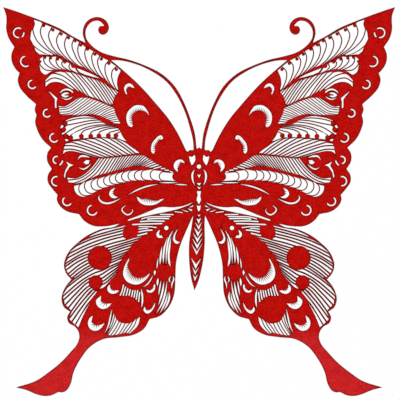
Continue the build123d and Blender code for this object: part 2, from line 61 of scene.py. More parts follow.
def bow(start, through, end, facets):  # an arc through three points
    (ax, ay), (bx, by), (cx, cy) = start, through, end
    turn = 2 * (ax * (by - cy) + bx * (cy - ay) + cx * (ay - by))
    a, b, c = ax * ax + ay * ay, bx * bx + by * by, cx * cx + cy * cy
    x = (a * (by - cy) + b * (cy - ay) + c * (ay - by)) / turn
    y = (a * (cx - bx) + b * (ax - cx) + c * (bx - ax)) / turn
    first = math.atan2(ay - y, ax - x)
    sweep = (math.atan2(cy - y, cx - x) - first) % math.tau
    sweep = sweep if turn > 0 else sweep - math.tau
    radius = math.hypot(ax - x, ay - y)
    turns = [first + sweep * i / facets for i in range(facets + 1)]
    return [(x + radius * math.cos(t), y + radius * math.sin(t)) for t in turns]


def shifted(line, offset):  # to the right of the line's direction
    moved = []
    for i, (x, y) in enumerate(line):
        before = line[max(i - 1, 0)]
        after = line[min(i + 1, len(line) - 1)]
        alongX, alongY = after[0] - before[0], after[1] - before[1]
        length = math.hypot(alongX, alongY)
        moved.append((x + offset * alongY / length, y - offset * alongX / length))
    return moved


sheet = {
    "thickness": 0.1,
    "centreY": -0.29,
    "slit": 0.62,
    "narrow": 0.5,
    "wide": 0.8,
    "hairGap": 0.75,
    "hairBase": 0.55,
    "ringFacets": 12,
    "scaleFacets": 6,
}


def nearest(point, line):  # the spot of a line of straight pieces that lies closest
    found = []
    for (ax, ay), (bx, by) in zip(line, line[1:]):
        alongX, alongY = bx - ax, by - ay
        share = ((point[0] - ax) * alongX + (point[1] - ay) * alongY) / (alongX ** 2 + alongY ** 2)
        share = min(max(share, 0), 1)
        found.append((ax + alongX * share, ay + alongY * share))
    return min(found, key=lambda spot: math.dist(spot, point))


def along(line, share):  # the spot at a share of a line's length
    left = share * sum(math.dist(a, b) for a, b in zip(line, line[1:]))
    for a, b in zip(line, line[1:]):
        piece = math.dist(a, b)
        if left <= piece:
            return (a[0] + (b[0] - a[0]) * left / piece, a[1] + (b[1] - a[1]) * left / piece)
        left -= piece
    return line[-1]


def openSide(line, other, offset, width):  # stops where the two strands run together
    clear = [math.dist(point, nearest(point, other)) > width * 1.25 for point in line]
    if not any(clear):
        return []
    last = len(line) - clear[::-1].index(True)
    return shifted(line, offset)[clear.index(True):last]


def cell(width, left, right, starts=(), ends=()):  # the opening between two strands
    along = (left[-1][0] - left[0][0], left[-1][1] - left[0][1])
    acrossX = sum(x for x, y in right) / len(right) - sum(x for x, y in left) / len(left)
    acrossY = sum(y for x, y in right) / len(right) - sum(y for x, y in left) / len(left)
    half = math.copysign(width / 2, along[1] * acrossX - along[0] * acrossY)
    near = openSide(left, right, half, width), openSide(right, left, -half, width)
    return near[0] + list(ends) + near[1][::-1] + list(starts) if min(map(len, near)) > 1 else []


def cells(width, strands, starts={}, ends={}):
    lines = [smooth(strand) for strand in strands]
    pairs = enumerate(zip(lines, lines[1:]))
    shapes = [cell(width, a, b, starts.get(i, ()), ends.get(i, ())) for i, (a, b) in pairs]
    return [shape for shape in shapes if shape]


def slit(points, width=sheet["slit"]):  # pointed at both ends
    line = smooth(points)
    count = len(line) - 1
    sides = []
    for i, (x, y) in enumerate(line[1:-1], 1):
        half = width / 2 * min(1, 3 * i / count, 3 * (count - i) / count)
        sides.append((shifted(line[i - 1:i + 2], half)[1], shifted(line[i - 1:i + 2], -half)[1]))
    return [line[0]] + [a for a, b in sides] + [line[-1]] + [b for a, b in sides][::-1]


def slot(points, width=sheet["slit"]):  # blunt at both ends
    line = smooth(points)
    return shifted(line, width / 2) + shifted(line, -width / 2)[::-1]


def ringSlit(centre, radius, start, sweep):
    facets = sheet["ringFacets"]
    turns = [math.radians(start + sweep * i / facets) for i in range(facets + 1)]
    line = [(centre[0] + radius * math.cos(t), centre[1] + radius * math.sin(t)) for t in turns]
    sides = shifted(line, sheet["slit"] / 2)[1:-1], shifted(line, -sheet["slit"] / 2)[1:-1]
    return [line[0]] + sides[0] + [line[-1]] + sides[1][::-1]


def crescent(outer, inner, share=0.0):  # with fine hairs of paper from its inner edge
    rim, edge = smooth(outer), smooth(inner)
    if not share:
        return rim + edge
    length = sum(math.dist(a, b) for a, b in zip(edge, edge[1:]))
    hairs = max(3, round(length / sheet["hairGap"]))
    half = sheet["hairBase"] / 2 / length
    fringe = [edge[0]]
    for i in range(1, hairs - 1):  # none at the horns
        middle = (i + 0.5) / hairs
        root = along(edge, middle)
        far = along(rim, 1 - middle)
        tip = (root[0] + (far[0] - root[0]) * share, root[1] + (far[1] - root[1]) * share)
        fringe += [along(edge, middle - half), tip, along(edge, middle + half)]
    return rim + fringe + [edge[-1]]


def circle(centre, radius, sides):
    turns = [math.tau * i / sides for i in range(sides)]
    return [(centre[0] + radius * math.cos(t), centre[1] + radius * math.sin(t)) for t in turns]


def mirrored(points):
    return [(-x, y) for x, y in points]


outlineRuns = [  # right half, head to abdomen, from corner to corner
    [(0, 27.4), (1.0, 26.6)],
    [(1.3, 27), (2.1, 34), (4.5, 42), (7.7, 50), (12.3, 58), (19, 64.2), (27, 68.2), (35, 71.1), (43, 73),
     (48.7, 74.8), (53.5, 78), (56.5, 82), (56.5, 86.5), (53, 90.3), (50, 90.5), (47.4, 88.2)],
    [(48.2, 87.9), (49.2, 88), (50.4, 86.6), (49.8, 84.3), (48, 83.6), (46.5, 84.2), (45.1, 87), (45.5, 89),
     (47.2, 91.2), (51, 92.5), (55.3, 91), (57.2, 88.8), (58.2, 84.5), (56.9, 79.6)],
    [(56.9, 79.6), (63, 82.7), (70, 86.9), (78, 90.3), (90, 94.8), (95, 96.5), (98, 97.4)],
    [(98, 97.4), (97.2, 95.5), (96.5, 93.3), (96.3, 90.5), (96.5, 87), (95.2, 81.8), (92.4, 77.5)],
    [(92.4, 77.5), (93.8, 74), (93.6, 70), (91.6, 66.3), (89.8, 64.4)],
    [(89.8, 64.4), (90.7, 61.3), (89.7, 57.3), (86.5, 53.3), (81.6, 48.9)],
    [(81.6, 48.9), (82.2, 46), (81.3, 43.4)],
    [(81.3, 43.4), (82, 40.5), (81, 36.2), (78.3, 31.2), (74.1, 27.2)],
    [(74.1, 27.2), (75.9, 24.3), (76, 20.7), (73.7, 16.5)],
    [(73.7, 16.5), (75.6, 13.5), (75.7, 10.2), (73.5, 6.7), (70.8, 3.5)],
    [(70.8, 3.5), (71.2, 1.5), (70, -1.5), (66.5, -4.5), (60.1, -6.1)],
    [(60.1, -6.1), (57.5, -9.4), (53, -11.9), (47, -12.2), (39.8, -10.9)],
    [(39.8, -10.9), (42.5, -12.4), (48, -13.3), (52.5, -15), (57, -17.4), (61, -20.6), (64.5, -24),
     (66.7, -27.7), (67.6, -32), (66.3, -36), (63.9, -38.7)],
    [(63.9, -38.7), (66.3, -41.6), (68.2, -45.2), (68.8, -49), (67.5, -52.7), (64.6, -54.8)],
    [(64.6, -54.8), (66, -57.8), (65, -60.6), (62.3, -62.2), (60.5, -64.5), (59.9, -67.5), (60.9, -70.8),
     (64.3, -75), (69.5, -80.5), (75.5, -85.3), (81, -89.1), (91.6, -92.7)],
    [(91.6, -92.7), (86.5, -94), (80.5, -96.4), (77.5, -97), (74.5, -96.8), (70.3, -95)],
    [(70.3, -95), (68.5, -95.2), (66.5, -94.4), (64.5, -91.5), (62.8, -85.2), (59, -78), (54.5, -72.4),
     (48, -68.6), (40, -67.6), (32.5, -66.3), (27.4, -63.2), (24.8, -58.6)],
    [(24.8, -58.6), (20, -57.2), (15.3, -52.7), (12.5, -46.3), (11.9, -39), (11.5, -30.5), (9.5, -22),
     (6, -13.4), (3, -6.8)],
]
rightOutline = []
for run in outlineRuns:
    line = smooth(run, 5)
    joined = bool(rightOutline) and math.dist(rightOutline[-1], line[0]) < 0.01
    rightOutline += line[1:] if joined else line
abdomen = smooth([(3, -6.8), (2.8, -9), (2.8, -20), (2.2, -28), (1.1, -34), (-0.2, -39), (-2.3, -44.2)])[1:]
abdomen += smooth([(-2.3, -44.2), (-3.8, -39), (-4.7, -33), (-5.1, -27), (-5, -20.5), (-3.9, -13),
                   (-3, -6.8)])[1:-1]
outline = rightOutline + abdomen + mirrored(rightOutline[1:])[::-1]
cuts = [  # between the antenna and the wing
    smooth([(2.8, 26.5), (3, 30), (4.6, 37), (7.1, 45), (10.7, 52.5), (16.2, 60), (24, 65.5), (32, 69),
            (40, 70.8), (44, 70.9)])
    + smooth([(44, 70.9), (39, 66.7), (30, 58.5), (21, 48.5), (15, 41.2), (10, 33), (6.6, 25.9)])[1:]
    + [(5.8, 25.1), (5.3, 25.5), (4.7, 26), (3, 25.9)]
]
plumes = [  # from the upper rib to the front rim
    [(40.2, 56.0), (40.8, 59), (40.5, 62), (39.0, 65.6)],
    [(41.7, 56.7), (43.1, 60), (43.8, 63.5), (43.2, 66), (41.4, 67.6)],
    [(44.4, 59), (46, 62), (47.1, 66), (46.8, 68.7), (45.2, 70.5)],
    [(47.3, 61.7), (49.3, 65), (50.6, 68.5), (50.7, 71), (49.7, 72.8)],
    [(50.2, 63.4), (51.9, 66), (53.2, 69.3), (53.7, 73), (52.7, 75.2)],
    [(52.5, 64.8), (54.7, 67.4), (56.3, 70.6), (57.2, 74.8), (56.5, 77.2)],
    [(55.2, 66.2), (57.8, 69), (59.7, 72), (60.7, 76.5), (59.9, 79.7)],
    [(57.8, 67.6), (60.4, 70.3), (62.3, 74), (63.6, 78.5), (62.6, 81.6)],
    [(60.6, 68.2), (63.7, 71), (66.1, 74.6), (67.3, 79.5), (65.9, 83.3)],
    [(65, 70.8), (68.3, 74), (70.5, 77.5), (71.3, 81.3), (69.4, 85.3)],
    [(68.4, 72.7), (72.3, 76.1), (74.3, 79.6), (75.3, 83.7), (73.6, 87.3)],
    [(71.2, 73.9), (75, 76.6), (77.8, 80.5), (79.4, 85.3), (78.2, 89.1)],
    [(72.8, 73.9), (77.5, 77), (80.5, 79.9), (82.3, 82.9), (83.2, 86.2)],
    [(74.0, 73.2), (77, 74.2), (80.5, 76.2), (83.0, 78.3)],
]
cuts += cells(0.58, plumes, ends={11: [(79.3, 90), (82.6, 91.1), (82, 89)], 12: [(84, 84.8), (84.4, 81.5)]})
cuts.append([(74.6, 73.5), (77.6, 74.2), (80.6, 76), (82.3, 77.3), (81.6, 75.4), (79.8, 73.9)])
feathers = [  # between the two upper ribs
    [(60.2, 64.6), (61.3, 66.0), (61.9, 67.3)],
    [(63.8, 65.7), (65.1, 67.4), (64.6, 69.2)],
    [(66.3, 66.4), (68.2, 67.8), (68.7, 69.2), (68.2, 70.6)],
    [(68.7, 66.5), (70.9, 68.6), (71.6, 70.6), (71.2, 72.6)],
    [(70.3, 66.3), (73.3, 68.4), (74.9, 70.8), (74.6, 72.5)],
    [(72.4, 66.4), (75.5, 67.8), (77.5, 70), (77.8, 72.7)],
    [(73.3, 65.8), (76.3, 65.9), (78.3, 67.1), (79.7, 68.9)],
    [(74.0, 65.0), (76.9, 63.4), (79.2, 65.0), (80.0, 68.2)],
]
cuts += cells(0.58, feathers, ends={0: [(62.3, 66.9), (63.8, 67.1)], 1: [(66.0, 69.9), (67.2, 69.2)],
                              5: [(79.8, 71.3), (78.7, 70.4)]})
cuts.append([(49.6, 61.8), (53, 63.6), (57, 65.3), (61.1, 66.9), (60.7, 66.1), (59.7, 64.9), (57, 63.7),
             (53, 62.6)])
upperHatch = [  # above the upper eye spot
    [(40.4, 55.1), (41.7, 56.2)],
    [(41.0, 54.2), (42.7, 56.1)],
    [(42.1, 53.3), (44.8, 57.2)],
    [(42.6, 51.8), (45.2, 55.7), (47.9, 59.3)],
    [(43.0, 50.2), (46.5, 55.5), (50.3, 60.6)],
    [(43.6, 48.7), (47.8, 55.4), (51.9, 61.1)],
    [(45.1, 49.0), (49.2, 55.2), (54.3, 61.8)],
    [(47.3, 50.0), (51.4, 56.3), (56.4, 62.4)],
    [(49.5, 51.1), (53.9, 57.0), (59.4, 63.4)],
    [(52.0, 52.1), (56.1, 57.7), (61.5, 64.0)],
    [(55.2, 52.9), (58.8, 58.3), (64.0, 64.7)],
    [(57.7, 54.5), (61.2, 59.3), (67.0, 64.9)],
    [(59.9, 55.7), (64.2, 60.3), (69.0, 63.4), (72.3, 64.5)],
]
cuts += cells(0.6, upperHatch, ends={11: [(69.5, 65.1)]})
eyeLashes = [
    [(59.9, 55.7), (64.2, 60.3), (69.0, 63.4), (73.5, 64.2), (76.9, 61.2)],
    [(60.6, 55.2), (65.0, 58.7), (69.5, 61.4), (73.0, 62.0), (76.9, 59.9)],
    [(61.2, 55.0), (64.8, 56.9), (68.0, 58.9), (72.0, 59.8), (75.0, 58.9), (76.5, 57.4)],
]
cuts += cells(0.62, eyeLashes)
lowerHatch = [  # below the upper eye spot
    [(60.3, 52.3), (64, 49.8), (67.5, 47.9), (70.3, 48.2)],
    [(59.6, 52.1), (63, 49.3), (66.3, 47.4), (69.9, 47.1)],
    [(57.6, 52.1), (61.3, 49.2), (65.3, 46.7), (69.9, 46.0)],
    [(55.4, 52.0), (60, 48.6), (65.2, 45.3), (69.9, 44.9)],
    [(54.1, 51.5), (59.3, 47.6), (64.2, 44.5), (69.0, 43.7)],
    [(52.7, 51.1), (58.1, 47.2), (63.6, 43.6)],
    [(51.2, 50.6), (56.4, 46.8), (61.6, 43.5)],
    [(49.7, 50.0), (54.7, 46.6), (59.4, 43.6)],
    [(48.4, 49.4), (53.3, 46.2), (57.0, 43.8)],
    [(46.9, 48.8), (51, 46.4), (55.1, 44)],
    [(45.5, 48.2), (49.5, 46.1), (53.3, 44)],
    [(44.1, 47.6), (47.6, 46), (51.6, 43.7)],
    [(42.8, 47), (46.3, 45.5), (49.9, 43.2)],
    [(42.2, 45.8), (45.6, 44.6), (49, 42.8)],
    [(42.1, 44.6), (45.2, 43.6), (48, 42.4)],
    [(41.6, 43.6), (44.4, 42.9), (47, 42)],
    [(41.1, 42.6), (43.3, 42.1), (45.6, 41.4)],
    [(40.6, 41.5), (44.5, 40.8)],
    [(40.1, 40.4), (43.4, 40)],
    [(39.4, 39.0), (42.6, 39.2)],
]
cuts += cells(0.48, lowerHatch)
garland = [  # strands from the upper rail down to the middle one
    [(38.8, 34.4), (37.9, 32.7), (36.2, 30.5)],
    [(39.3, 35.1), (41.3, 34.1), (41.7, 32.2)],
    [(40.0, 36.1), (42.5, 35.4), (45.2, 34.4), (45.4, 32.4)],
    [(40.8, 37.1), (44.5, 36.7), (48, 35.8), (50.1, 34.5), (50.1, 32.5)],
    [(41.8, 37.7), (46.5, 37.3), (50.5, 36.3), (54.2, 34.5), (54.2, 32.2)],
    [(43.7, 38.2), (48.5, 38), (53, 37.1), (58.8, 34.4), (58.9, 31.8)],
    [(50.5, 38.5), (55, 37.7), (60, 35.8), (64.0, 33.3), (63.8, 31.2)],
]
cuts += cells(0.6, garland, starts={5: [(47.8, 38.5)]})
upperGarland = [
    [(50.5, 38.5), (55, 37.7), (60, 35.8), (63.8, 33.6)],
    [(48.7, 40.0), (52, 39.7), (57, 38.8), (62.0, 37.2), (67.3, 34.0)],
    [(50.5, 41.0), (55, 40.6), (60, 39.6), (66.1, 38.4)],
    [(52.0, 41.8), (57.0, 42.0), (62.0, 41.4), (66.1, 40.3)],
    [(52.6, 42.4), (57.0, 43.2), (60.5, 42.8), (64.3, 42.0), (68.3, 40.2)],
]
cuts += cells(0.6, upperGarland, starts={0: [(46.6, 38.95)]},
              ends={0: [(64.8, 33.1), (66.3, 34.1)],
                    1: [(68.4, 33.6), (68.6, 34.4), (67.2, 34.9), (66.6, 36), (67, 37.3)]})
cuts.append([(65.3, 30.8), (66.4, 30.3), (67.2, 31.5), (65.7, 31.3)])
cuts.append([(67.8, 38), (68.8, 38.5), (69.4, 36.9), (68.3, 37.1)])
shoulderHatch = [  # between the middle rail and the lower midrib
    [(33.3, 27.4), (36.8, 29.9), (41.0, 31.9)],
    [(31.9, 24.3), (37, 28.3), (41.9, 31.5)],
    [(33.6, 24.1), (39, 28.1), (45.0, 31.8)],
    [(35.7, 23.9), (42.6, 28.2), (49, 31.9)],
    [(38.2, 23.6), (45.3, 28.2), (52.3, 31.6)],
    [(39.9, 23.3), (47.8, 27.7), (56.8, 31.2)],
    [(42.0, 23.1), (50.7, 27.2), (60.0, 30.7)],
    [(44.5, 22.9), (53.6, 26.7), (63.6, 29.9)],
    [(47.0, 22.6), (54.0, 25.3), (63.2, 28.1), (67.2, 28.2)],
    [(49.8, 22.4), (57.5, 24.8), (64.0, 26.4), (67.6, 26.3)],
    [(53.2, 22.8), (60.5, 24.6), (64, 25.2), (66.6, 24.8), (67.9, 23.7)],
]
cuts += cells(0.7, shoulderHatch, starts={0: [(29.9, 24.5), (31.9, 26.1)]}, ends={7: [(66.6, 29.1)]})
fanStripes = [  # top, middle and foot of each opening below the lower midrib
    [(18.9, 17.7), (20.9, 17.3), (22.9, 16.8)],
    [(20.6, 18.7), (22.6, 18.0), (24.7, 17.2)],
    [(22.1, 19.5), (24.1, 18.7), (26.3, 17.8)],
    [(23.3, 20.3), (25.4, 19.4), (28.2, 18.1)],
    [(24.4, 21.1), (26.7, 19.8), (29.6, 18.0)],
    [(25.5, 21.7), (27.7, 20.1), (30.8, 18.0)],
    [(26.5, 22.6), (28.8, 20.5), (31.8, 18.0)],
    [(27.5, 23.2), (30.0, 20.8), (32.8, 17.9)],
    [(28.7, 23.4), (31.2, 20.8), (34.0, 17.8)],
    [(30.2, 23.3), (32.6, 20.7), (35.2, 17.6)],
    [(31.7, 23.3), (34.0, 20.6), (36.8, 17.2)],
    [(33.2, 23.2), (35.5, 20.3), (38.5, 16.7)],
    [(34.8, 22.9), (37.1, 19.9), (39.8, 16.3)],
    [(36.4, 22.8), (38.5, 19.7), (40.9, 16.0)],
    [(37.7, 22.8), (39.8, 19.6), (42.3, 15.6)],
    [(39.2, 22.5), (41.3, 19.2), (43.8, 15.2)],
    [(40.7, 22.3), (42.8, 18.7), (45.3, 14.8)],
    [(42.2, 22.2), (44.6, 18.3), (47.2, 14.3)],
    [(43.9, 22.0), (46.4, 18.0), (49.2, 13.8)],
    [(45.5, 21.8), (48.1, 17.6), (51.0, 13.3)],
]
fanHatch = [[((a + c) / 2, (b + d) / 2) for (a, b), (c, d) in zip(left, right)]
            for left, right in zip(fanStripes, fanStripes[1:])]
fanHatch += [
    [(46.2, 21.9), (48.9, 17.9), (51.7, 14.2), (54.6, 11.9)],
    [(47.8, 21.7), (50.6, 17.9), (53.5, 14.5), (58.0, 11.2), (62.6, 9.4)],
    [(49.3, 21.6), (51.6, 18.5), (54.3, 15.5), (59.7, 11.8), (65.6, 10.9)],
    [(50.4, 21.9), (52.5, 19), (55.0, 16.2), (58.0, 13.7), (61.5, 12.1), (65.9, 12.4)],
]
cuts += cells(0.62, fanHatch, ends={19: [(58.3, 10)], 20: [(65.2, 9.8)]})
cuts.append(slot([(13.1, 14.8), (14.7, 15.3)], sheet["narrow"]))
cuts.append(slot([(15.1, 15.85), (17.2, 15.95)], sheet["narrow"]))
cuts.append(slot([(17.1, 16.8), (19.1, 16.6)], sheet["narrow"]))
cuts.append(slot([(18.9, 17.75), (22.8, 16.65)], sheet["narrow"]))
scaleStrands = [  # top, middle and foot of each bowed strand
    [(12.5, 14.1), (13.2, 12.3), (11.6, 10.8)],
    [(18.3, 15.1), (19.95, 13.0), (18.6, 10.7)],
    [(22.7, 16.1), (24.5, 13.6), (22.9, 11.1)],
    [(28.0, 15.7), (29.0, 13.6), (27.1, 11.0)],
    [(30.5, 15.6), (32.4, 13.1), (31.0, 10.9)],
    [(33.3, 15.8), (35.6, 13.0), (34.2, 10.7)],
    [(37.4, 15.0), (38.8, 12.4), (36.3, 10.2)],
    [(40.4, 14.4), (41.9, 11.8), (38.7, 9.6)],
    [(43.7, 13.6), (44.9, 11.2), (42.0, 8.9)],
    [(47.0, 12.5), (47.8, 10.9), (44.9, 8.1)],
    [(50.2, 11.8), (51.0, 9.6), (48.3, 6.9)],
    [(52.5, 11.3), (54.1, 8.7), (51.1, 5.8)],
    [(56.7, 10.1), (57.4, 8.0), (53.3, 4.2)],
    [(59.7, 8.5), (60.2, 6.3), (56.5, 3.1)],
    [(62.7, 8.0), (62.2, 5.0), (57.2, 2.4)],
]
bowed = [bow(top, middle, foot, sheet["scaleFacets"]) for top, middle, foot in scaleStrands]
cuts += [cell(0.56, a, b) for a, b in zip(bowed, bowed[1:])]
cuts += [  # curled slits along the margin
    ringSlit((90.4, 84.6), 2.4, 133, -241),
    ringSlit((90.4, 84.6), 2.75, 176, 54),
    ringSlit((86.7, 70.3), 2.55, 90, -220),
    ringSlit((83.4, 58.8), 2.05, 94, -249),
    ringSlit((76.0, 44.4), 1.9, 105, -258),
    ringSlit((72.5, 32.1), 2.15, 95, -246),
    ringSlit((71.2, 21.0), 1.8, 113, -203),
    ringSlit((71.2, 21.0), 2.9, 184, 61),
    ringSlit((71.4, 10.4), 2.3, 111, -216),
    ringSlit((66.0, 0.4), 2.2, 60, -218),
    ringSlit((53.4, -4.1), 2.45, 88, -254),
    slit([(33.9, -2.9), (33.2, -4.3), (34.2, -5.8), (35.7, -6.4), (37, -5.9), (38.6, -3.7), (37.5, -2.3),
          (36.4, -1.5)]),
    slit([(38.9, 2), (42, 0.4), (46, -0.7), (49, 0.2), (50.2, 2.2), (49.6, 3.4)], sheet["wide"]),
]
cuts += [  # the two eye spots
    bow((62.8, 54.6), (66.9, 56.65), (69.6, 54.6), 8) + bow((69.2, 54.6), (66.7, 55.9), (63.5, 54.7), 6),
    smooth([(65.2, 54.6), (67.2, 54.7), (68.9, 53.4), (67, 52.3), (65.2, 52.8)])
    + [(65.6, 53.2), (67.3, 53.2), (67.3, 53.7), (65.5, 54.1)],
    slit([(63, 52.9), (64.5, 51.8), (66.5, 51.3), (69, 52.2)], sheet["narrow"]),
    [(75.3, 55.4), (73, 53.6), (70.9, 51.8), (71.4, 50), (71.3, 47.2), (71.7, 46.8), (72.1, 47.5),
     (72.1, 51.3), (73.2, 52.8)],
    slit([(54.3, 22.1), (57, 22.9), (59.3, 22.8), (60.8, 21)], sheet["wide"]),
    [(54.6, 20.8), (56.5, 20.9), (57.8, 19.7), (56.5, 18.8), (55, 19.3), (55.2, 20.2)],
    slit([(54, 19.2), (56, 17.3), (58, 16.4), (60.3, 17.4)]),
    [(62.9, 18.5), (64.7, 19.1), (66.5, 20.2), (65.4, 18.3), (66.8, 16), (67.6, 13), (67.1, 11.9),
     (66.7, 14.5), (64.8, 17.6)],
]
cuts += [  # crescents at the root of the fore wing
    crescent([(32.3, 56.9), (33.5, 58.6), (35, 59.3), (36.9, 58.3), (37.5, 56.6), (36.6, 54)],
             [(36, 53.9), (36.4, 56.1), (35.2, 57.6), (33.5, 57.3)], 0.5),
    crescent([(25, 43.4), (26.2, 46), (28, 48), (30, 48.4), (32, 48.2), (34, 46.9), (36, 44.3), (36.4, 42),
              (36, 39.6), (35, 38), (33.8, 37.4)],
             [(33.3, 38.1), (33.3, 39.6), (33.7, 42), (33.3, 43.7), (32, 45), (30, 45.8), (28, 45.6),
              (26.6, 45.2)], 0.75),
    crescent([(18, 31.8), (18.9, 33.3), (20, 33.1), (22, 31.3), (23.6, 29), (24, 26.8), (23.8, 25), (23, 24.1)],
             [(22.3, 24.8), (22, 26.3), (22.2, 27.6), (21.7, 28.7), (20.9, 29.7), (20.3, 30.8), (18.6, 31.3)],
             0.75),
    crescent([(7.2, 19.3), (8.3, 20.9), (10, 21.2), (12.1, 19.9), (12.7, 17.7), (11.8, 16), (10.5, 15)],
             [(11, 16.8), (10, 18.2), (9.2, 19.9), (8, 19.7)], 0.5),
    crescent([(17.5, 1.6), (19, 0.5), (20.2, -0.3), (22, -1.2), (24, -1.6), (26, -1.6), (28, -1.2),
              (29.6, -0.2), (30.7, 1.2), (31.1, 2.7)],
             [(30.1, 2), (28.5, 1.4), (27, 1.6), (25, 1.2), (23, 0.8), (21.2, 0.6), (19.3, 1.3)], 0.75),
    crescent([(41.8, 7.2), (44.2, 5.9), (45, 3.9), (43.7, 2.2), (41.3, 2.1), (40.7, 2.5)],
             [(42.2, 2.9), (42.9, 4.3), (42.8, 6.1)], 0.6),
]
cuts += [  # hind edge of the fore wing and the gap between the wings
    slit([(5.5, 8.5), (9, 8.7), (12.3, 8.9)], sheet["narrow"]),
    slit([(10.5, 9.65), (15.5, 9.65), (20.3, 9.7)], sheet["narrow"]),
    slit([(20.3, 8.9), (25, 8.1), (31, 6), (35.7, 3.4)]),
    smooth([(3.2, -0.2), (8, -2), (13, -2.7), (19.5, -2.6), (24, -4.3), (30, -6.8), (35.7, -8.9)])
    + smooth([(35.3, -9.4), (28, -7.3), (22, -6), (17, -5), (9.7, -3.2), (5, -1.4)]),
    [(2.8, -1.5), (5.1, -2.8), (3.3, -2.4)],
    [(3.4, -3.8), (5.8, -3.2), (4, -4.6)],
    [(5, -4.9), (9.0, -3.7), (6.5, -4.9)],
]
cuts += [  # hind wing before its upper disc
    slot([(8.3, -5.3), (12.3, -4.8)], 0.4),
    slot([(12.8, -6.3), (19.6, -6.2)], sheet["narrow"]),
    slot([(14.3, -7.2), (20, -7.3), (25, -7.5), (28.9, -8.5)], sheet["narrow"]),
    slot([(15, -8.3), (23, -8.3), (26, -8.6)]),
    slot([(17.3, -9.6), (24, -9.5), (29.6, -9.8)]),
    slot([(18.5, -10.8), (29, -11.1), (33.4, -11.3)]),
    slot([(21.3, -12.8), (24.5, -12.4), (30.2, -12.3)], sheet["narrow"]),
    slot([(25.5, -13.2), (27, -13.2), (30.3, -13.6)], sheet["narrow"]),
    slot([(23.4, -14), (26, -14.2), (30.3, -15)]),
    slot([(25.9, -15.6), (30.9, -16.8)]),
]
hindHatch = [  # from the front edge to the tail
    [(37.0, -11.4), (42, -12.6), (48.5, -13.9), (52.0, -15.3), (57.6, -18.2)],
    [(37.7, -12.9), (43, -14.2), (48, -15.6), (51.7, -16.7), (57, -18.7)],
    [(38.2, -14.3), (44, -15.8), (50, -17.4), (54, -18.7), (61.2, -21.8)],
    [(38.2, -15.9), (44, -17.3), (50, -19.1), (56, -21.4), (64.8, -25.7)],
    [(38, -17.3), (44, -18.8), (50, -20.8), (56, -23), (65.5, -27.8)],
    [(36.5, -18.9), (43, -20.5), (47.5, -21.9), (53.9, -23.9), (60, -26.6), (66.5, -30.6)],
    [(31, -18.5), (38.6, -20.8), (45.2, -22.8), (55.8, -26.1), (60.5, -28.1), (66.7, -32.1)],
    [(32.9, -20.2), (38, -21.7), (44, -23.8), (55.8, -27.5), (61, -30.1), (66.5, -34)],
    [(34, -21.7), (39.2, -23.3), (44, -25.2), (55.9, -29.1), (60, -31.5), (65.3, -35.8)],
    [(34.8, -23.3), (39.5, -24.8), (43.6, -26.4), (55.7, -30.7), (60, -33.3), (64.3, -36.9)],
    [(36.5, -25.1), (43.5, -27.6), (55.4, -32.2), (60, -35.2), (63.5, -38)],
    [(37.6, -26.6), (43.6, -28.9), (54.5, -33), (59, -36), (63.0, -38.9)],
    [(38.7, -28.1), (44, -30.3), (53, -33.8), (59, -37.3), (66.1, -42.7)],
    [(39.4, -29.9), (45, -32.4), (48.2, -34.1), (52, -35.4), (58, -38.7), (68, -47)],
    [(40, -31.2), (44.3, -33.3), (49.6, -36.6), (55, -38.3), (61, -42.9), (67.7, -48.9)],
    [(40.3, -32.4), (45.5, -36), (48.5, -38.1), (55.3, -40), (61, -45.2), (66.9, -51.4)],
    [(40.8, -33.8), (44, -36.5), (48, -39.6), (55.5, -42.2), (60, -46.5), (65.3, -52.8)],
    [(41.2, -35), (47.4, -40.8), (54.3, -43), (59.1, -48), (63.8, -54.4)],
    [(41.4, -36.6), (44.2, -39.5), (48.3, -43.4), (53.2, -43.9), (57, -48), (60.3, -52), (64.4, -57.6)],
]
hatchStarts = {5: [(28.3, -17.2), (32.5, -18.1)], 6: [(30.2, -18.9)]}
cuts += cells(0.84, hindHatch, starts=hatchStarts)
tailStrands = [
    [(53.2, -43.9), (57, -48), (60.3, -52.0), (64.4, -57.6)],
    [(52.0, -44.5), (55.1, -48), (58.2, -52.0), (63.6, -59.8)],
    [(53.7, -48.8), (56.3, -52), (58.7, -56.0), (61.9, -61.4)],
]
cuts += cells(0.84, tailStrands, starts={1: [(51.1, -44.8)]}, ends={0: [(64.8, -58.5)]})
cuts.append([(54.7, -50.5), (56.4, -53), (58.5, -56.1), (61.6, -61.6), (60.4, -62.6), (58.2, -57.2),
             (56.2, -53.2)])
